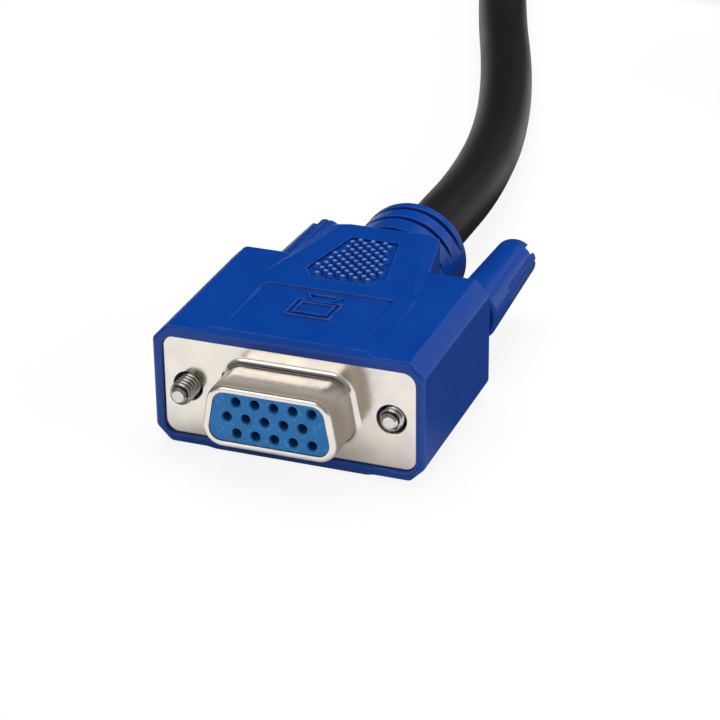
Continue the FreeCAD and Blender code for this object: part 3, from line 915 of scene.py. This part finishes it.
@dataclass(frozen=True)
class JackScrew:
    """A steel jackscrew with a cut thread, a chamfered tip and a plain shank."""

    node: str
    body: str
    pitch: float = 0.635
    crest_flat: float = 0.125
    root_flat: float = 0.25
    major: float = 1.42
    minor: float = 1.03
    thread_length: float = 9.0
    chamfer: float = 0.7
    shank: float = 1.6
    sides: int = 48
    rows_per_pitch: int = 8

    def surface(self, row: int, side: int) -> tuple[float, float, float]:
        """Place of one point of the helical surface.

        Args:
            row: The row of the helix.
            side: The side of the screw.

        Returns:
            The distance from the tip, the radius and the thread's depth from 0 to 1.
        """
        along = (row / self.rows_per_pitch + side / self.sides) * self.pitch
        if along >= self.thread_length:
            return self.thread_length, self.shank, 0.0
        along = max(0.0, along)
        away = abs((row / self.rows_per_pitch) % 1.0 - 0.5) * 2
        depth = (1 - self.crest_flat - away) / (1 - self.crest_flat - self.root_flat)
        depth = min(1.0, max(0.0, depth))
        thread = self.major - (self.major - self.minor) * depth
        cone = self.major - self.chamfer + along
        return (along, cone, 0.0) if cone < thread else (along, thread, depth)

    def build(self, finishes: Finishes) -> Object:
        """Makes the screw in the place of its node.

        Args:
            finishes: The finish of every slot.

        Returns:
            The screw's object.
        """
        low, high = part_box(self.node)
        axis = (low + high) / 2 / MM
        tip = low.y / MM
        mesh = MeshBuilder()
        turn = self.rows_per_pitch
        last_row = math.ceil(self.thread_length / self.pitch * turn) + turn
        columns = []
        rear = []
        for side in range(self.sides):
            angle = math.tau * side / self.sides
            around = Vector((math.cos(angle), 0.0, math.sin(angle)))
            rear.append(Vector((axis.x, high.y / MM, axis.z)) + around * self.shank)
            column = {}
            for row in range(-turn, last_row + 1):
                along, radius, depth = self.surface(row, side)
                column[row] = mesh.ring([Vector((axis.x, tip + along, axis.z)) + around * radius])[0]
                mesh.grooves.append(depth)
            columns.append(column)
        for side in range(self.sides):
            after = (side + 1) % self.sides
            shift = turn if after == 0 else 0
            near = columns[side]
            far = columns[after]
            for row in range(-turn, last_row - shift):
                mesh.faces.append((near[row], far[row + shift], far[row + shift + 1], near[row + 1]))
        mesh.cap([column[-turn] for column in columns])
        end = mesh.ring(rear)
        mesh.grooves.extend(0.0 for _ in end)
        mesh.bridge([column[last_row] for column in columns], end)
        mesh.cap(end)
        piece = mesh.build(self.node + "_cut", finishes[Slot.STEEL], sharp=30.0)
        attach(piece, self.body)
        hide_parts(self.node)
        LOG.info("cut the thread of %s", self.node)
        return piece


@dataclass(frozen=True)
class PanelIcon:
    """Raised lines on a hood's label panel: a plain monitor on its stand.

    Each line runs through places across the hood and behind its rim.
    """

    hood: str
    name: str
    panel_start: float = 2.5
    panel_end: float = 14.1
    panel_depth: float = 0.3
    stud_rise: float = 0.3
    line_width: float = 0.4
    line_height: float = 0.28
    root: float = 0.06
    crown_share: float = 0.55
    mitre_limit: float = 0.3
    screen: tuple[Pair, ...] = ((-2.75, 6.55), (2.75, 6.55), (2.75, 10.9), (-2.75, 10.9))
    glass: tuple[Pair, ...] = ((-2.0, 7.5), (2.0, 7.5), (2.0, 10.35), (-2.0, 10.35))
    stand: tuple[Pair, ...] = ((-1.4, 11.5), (-2.05, 12.7), (2.05, 12.7), (1.4, 11.5))

    def mitres(self, line: Sequence[Pair], closed: bool) -> list[Vector]:
        """Sideways steps at each point of a line that keep its width round the corners.

        Args:
            line: The line's places.
            closed: Whether it runs back to its start.

        Returns:
            One step for each point.
        """
        spots = [Vector(place) for place in line]
        steps = []
        for i, spot in enumerate(spots):
            before = spots[i - 1] if closed or i > 0 else spot * 2 - spots[i + 1]
            after = spots[(i + 1) % len(spots)] if closed or i + 1 < len(spots) else spot * 2 - spots[i - 1]
            into = (spot - before).normalized()
            out = (after - spot).normalized()
            side = Vector((-into.y - out.y, into.x + out.x)).normalized()
            steps.append(side / max(self.mitre_limit, side.dot(Vector((-into.y, into.x)))))
        return steps

    def build(self, finishes: Finishes) -> Object:
        """Makes the lines on the sloping floor of the panel.

        Args:
            finishes: The finish of every slot.

        Returns:
            The icon's object.
        """
        low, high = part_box(self.hood)
        middle = (low.x + high.x) / 2 / MM
        rim = low.y / MM
        top = high.z / MM - self.stud_rise
        fall = self.panel_depth / (self.panel_end - self.panel_start)
        mesh = MeshBuilder()
        half = self.line_width / 2
        crown = half * self.crown_share
        right = ((half, -self.root), (half, 0.0), (crown, self.line_height))
        profile = right + tuple((-side, lift) for side, lift in reversed(right))
        for line, closed in ((self.screen, True), (self.glass, True), (self.stand, False)):
            rows = []
            for (x, y), step in zip(line, self.mitres(line, closed)):
                section = []
                for side, lift in profile:
                    behind = y + step.y * side
                    floor = top - fall * (behind - self.panel_start)
                    section.append(Vector((middle + x + step.x * side, rim + behind, floor + lift)))
                rows.append(mesh.ring(section))
            mesh.loft(rows, closed)
        piece = mesh.build(self.name, finishes[Slot.MOULDING], sharp=20.0)
        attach(piece, "cable")
        LOG.info("raised %s", self.name)
        return piece


@dataclass(frozen=True)
class GripStuds:
    """Rounded tips on the studs of a hood's grip patch, set out as in the part's source."""

    hood: str
    name: str
    start: float = 17.2
    end: float = 29.6
    cut_length: float = 2.2
    cut_width: float = 1.5
    front_half: float = 5.1
    back_half: float = 3.1
    pitch: float = 1.6
    row_step: float = 0.75
    gap: float = 0.1
    stud_rise: float = 0.3
    foot: float = 0.15
    radius: float = 0.5
    height: float = 0.5
    sides: int = 14
    rings: int = 4

    def half_width(self, behind: float) -> float:
        """Half width of the patch.

        Args:
            behind: The distance behind the hood's rim.

        Returns:
            The half width there.
        """
        cut_end = self.start + self.cut_length
        if behind < cut_end:
            return self.front_half - self.cut_width * (cut_end - behind) / self.cut_length
        share = (behind - cut_end) / (self.end - cut_end)
        return self.front_half + (self.back_half - self.front_half) * share

    def spots(self) -> list[Pair]:
        """Works out where the studs stand.

        Returns:
            Their middles, across the hood and behind its rim.
        """
        across = (self.pitch - self.gap) / 2
        along = self.row_step - self.gap / 2
        rows = int((self.end - self.start - 2 * along) / self.row_step) + 1
        first = (self.start + self.end - (rows - 1) * self.row_step) / 2
        spots = []
        for row in range(rows):
            behind = first + row * self.row_step
            room = min(self.half_width(behind - along / 2), self.half_width(behind + along / 2)) - across
            shift = 0.5 * (row % 2)
            reach = int(room / self.pitch + 1 - shift)
            places = [(column + shift) * self.pitch for column in range(-reach - 1, reach + 1)]
            spots.extend((place, behind) for place in places if abs(place) <= room)
        return spots

    def build(self, top_highlight: Material) -> Object:
        """Makes one rounded tip on each stud.

        Args:
            top_highlight: The finish of a moulding with a painted highlight on its tops.

        Returns:
            The tips as one object.
        """
        low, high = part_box(self.hood)
        middle = (low.x + high.x) / 2 / MM
        base = high.z / MM - self.stud_rise - self.foot
        mesh = MeshBuilder()
        spread = [Matrix.Rotation(math.tau * side / self.sides, 3, "Z") for side in range(self.sides)]
        spots = self.spots()
        for x, y in spots:
            rows = []
            for ring in range(self.rings):
                lift = math.pi / 2 * ring / self.rings
                hub = Vector((middle + x, low.y / MM + y, base + self.height * math.sin(lift)))
                reach = Vector((self.radius * math.cos(lift), 0.0, 0.0))
                rows.append(mesh.ring(hub + turn @ reach for turn in spread))
            mesh.loft(rows)
        piece = mesh.build(self.name, top_highlight, sharp=60.0)
        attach(piece, "cable")
        LOG.info("rounded %d studs of %s", len(spots), self.hood)
        return piece


@dataclass(frozen=True)
class CoilStrap:
    """Hook-and-loop strap round the coil, with its round-ended tab lapped over itself."""

    cable: CableRun
    node: str = "coil_tie"
    angle: float = 40.0
    width: float = 14.0
    thickness: float = 0.76
    clearance: float = 0.04
    edge: float = 0.2
    overlap: float = 0.03
    lap_from: float = 8.0
    lap_rise: float = 6.0
    lap_length: float = 19.5
    arc_steps: int = 12
    run_steps: int = 24

    def path(self) -> list[tuple[Vector, Vector, float]]:
        """Works out the closed line of the tape's inner face round the bundle of turns.

        Returns:
            The line's points, their outward directions and their distance along it.
        """
        half = self.cable.diameter / 2
        corner = half + self.clearance
        flat_x = (self.cable.columns - 1) * half
        flat_z = (self.cable.layers - 1) * half
        middles = ((flat_x, -flat_z), (flat_x, flat_z), (-flat_x, flat_z), (-flat_x, -flat_z))
        spots = []
        for quarter, (x, z) in enumerate(middles):
            for step in range(self.arc_steps + 1):
                turn = math.radians(-90 + 90 * (quarter + step / self.arc_steps))
                out = Vector((math.cos(turn), math.sin(turn)))
                spots.append((Vector((x, z)) + out * corner, out))
            start, out = spots[-1]
            goal = Vector(middles[(quarter + 1) % 4]) + out * corner
            for step in range(1, self.run_steps):
                spots.append((start.lerp(goal, step / self.run_steps), out))
        line = []
        done = 0.0
        for i, (spot, out) in enumerate(spots):
            done += (spot - spots[i - 1][0]).length if i else 0.0
            line.append((spot, out, done))
        return line

    def section(self, mesh: MeshBuilder, spot: Vector, out: Vector, along: float, half: float) -> list[int]:
        """Adds one cross-section of the tape, with softened edges.

        Args:
            mesh: The piece to add to.
            spot: Where the tape's inner face lies, across and up from the middle of the bundle.
            out: The outward direction there.
            along: The distance along the tape.
            half: Half of the tape's width there.

        Returns:
            The section's point numbers.
        """
        top = self.thickness
        soft = self.edge
        right = ((half - soft, 0.0), (half, soft), (half, top - soft), (half - soft, top))
        outline = right + tuple((-side, lift) for side, lift in reversed(right))
        middle = math.radians(self.angle) + self.width / 2 / self.cable.mean
        height = self.cable.tie_thickness + self.cable.layers * self.cable.diameter / 2
        points = []
        for side, lift in outline:
            place = spot + out * lift
            turn = middle + side / self.cable.mean
            reach = self.cable.mean + place.x
            points.append(Vector((
                self.cable.centre.x + reach * math.cos(turn),
                self.cable.centre.y + reach * math.sin(turn),
                height + place.y,
            )))
            mesh.layout.append((along, side))
        return mesh.ring(points)

    def tab_half(self, left: float) -> float:
        """Half width of the tab at a distance from its round end."""
        short = max(0.0, self.width / 2 - left)
        return max(self.edge * 2, math.sqrt((self.width / 2) ** 2 - short ** 2))

    def build(self, finishes: Finishes) -> Object:
        """Makes the strap in the place of its node.

        Args:
            finishes: The finish of every slot.

        Returns:
            The strap's object.
        """
        mesh = MeshBuilder()
        line = self.path()
        under = [self.section(mesh, spot, out, along, self.width / 2) for spot, out, along in line]
        mesh.loft(under, closed=True)
        lap = []
        for spot, out, along in line:
            done = along - self.lap_from
            left = self.lap_length - done
            if done >= 0 and left >= 0:
                lift = self.thickness * min(1.0, done / self.lap_rise) - self.overlap
                lap.append(self.section(mesh, spot + out * lift, out, along, self.tab_half(left)))
        mesh.loft(lap)
        piece = mesh.build("coil_strap", finishes[Slot.STRAP], sharp=50.0)
        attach(piece, "cable")
        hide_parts(self.node)
        LOG.info("tied the coil")
        return piece


# Assembly

class End(Enum):
    """The two ends of the cable, by the prefix of their nodes."""

    SOCKET = ""
    PLUG = "plug_"


@dataclass(frozen=True)
class ConnectorEnd:
    """One end of the cable: its hood, shell and thumbscrews."""

    end: End
    grip_half: float = 5.6
    grip_start: float = 16.9
    grip_end: float = 29.9
    moulded: EdgeRounding = EdgeRounding()
    # The stamped shell carries the painted reflection on its shroud.
    stamped: EdgeRounding = EdgeRounding(width=0.12, painted_reflection=ShroudReflection())

    def node(self, piece: str) -> str:
        """The name of a piece's node at this end."""
        return self.end.value + piece

    def grip_patch(self) -> PlaceTest:
        """Sets up the test of whether a place, in metres, lies in the grip patch of the hood.

        Returns:
            The test.
        """
        low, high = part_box(self.node("hood"))
        middle = (low + high) / 2
        front = low.y + self.grip_start * MM
        back = low.y + self.grip_end * MM
        half = self.grip_half * MM

        def inside(place: Vector) -> bool:
            """Whether a place lies in the patch."""
            return place.z > middle.z and abs(place.x - middle.x) < half and front < place.y < back

        return inside

    def build(self, finishes: Finishes, top_highlight: Material) -> list[Object]:
        """Makes the pieces that stand for nodes of this end.

        Args:
            finishes: The finish of every slot.
            top_highlight: The finish of the grip's studs, with a painted highlight on their tops.

        Returns:
            The new pieces.
        """
        hood = self.node("hood")
        pieces = [
            self.moulded.build(hood, "cable", Slot.MOULDING, finishes, self.grip_patch()),
            self.stamped.build(self.node("front_shell"), "cable", Slot.NICKEL, finishes),
            PanelIcon(hood, self.node("panel_icon")).build(finishes),
            GripStuds(hood, self.node("grip_studs")).build(top_highlight),
        ]
        for side in ("left", "right"):
            body = self.node("thumbscrew_" + side)
            knob = self.node("knob_" + side)
            pieces.append(self.moulded.build(knob, body, Slot.MOULDING, finishes))
            pieces.append(JackScrew(self.node("screw_" + side), body).build(finishes))
        return pieces


def dress_nodes(finishes: Finishes) -> None:
    """Gives each node of the frame its finish.

    Args:
        finishes: The finish of every slot.
    """
    for part in frame["record"]["subparts"]:
        mesh = frame["nodes"][part["node"]].data
        mesh.materials.clear()
        mesh.materials.append(finishes[Slot(part["material_slot"])])
        LOG.info("dressed %s", part["node"])


def main() -> None:
    """Builds the studio and every piece in order."""
    logging.basicConfig(level=logging.INFO, format="%(name)s: %(message)s")
    rim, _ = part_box("hood")
    low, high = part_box("insulator")
    Studio().build(Vector((0.0, rim.y, (low.z + high.z) / 2)))
    finishes = {slot: recipe.build() for slot, recipe in RECIPES.items()}
    dress_nodes(finishes)
    cable = CableRun()
    top_highlight = TOP_HIGHLIGHT_MOULDING.build()
    ConnectorEnd(End.SOCKET).build(finishes, top_highlight)
    on_cable = ConnectorEnd(End.PLUG).build(finishes, top_highlight)
    on_cable.append(CoilStrap(cable).build(finishes))
    on_cable.extend(frame["nodes"][name] for name in frame["nodes"] if name.startswith(End.PLUG.value))
    cable.build(finishes[Slot.JACKET], on_cable)


if __name__ == "__main__":
    main()
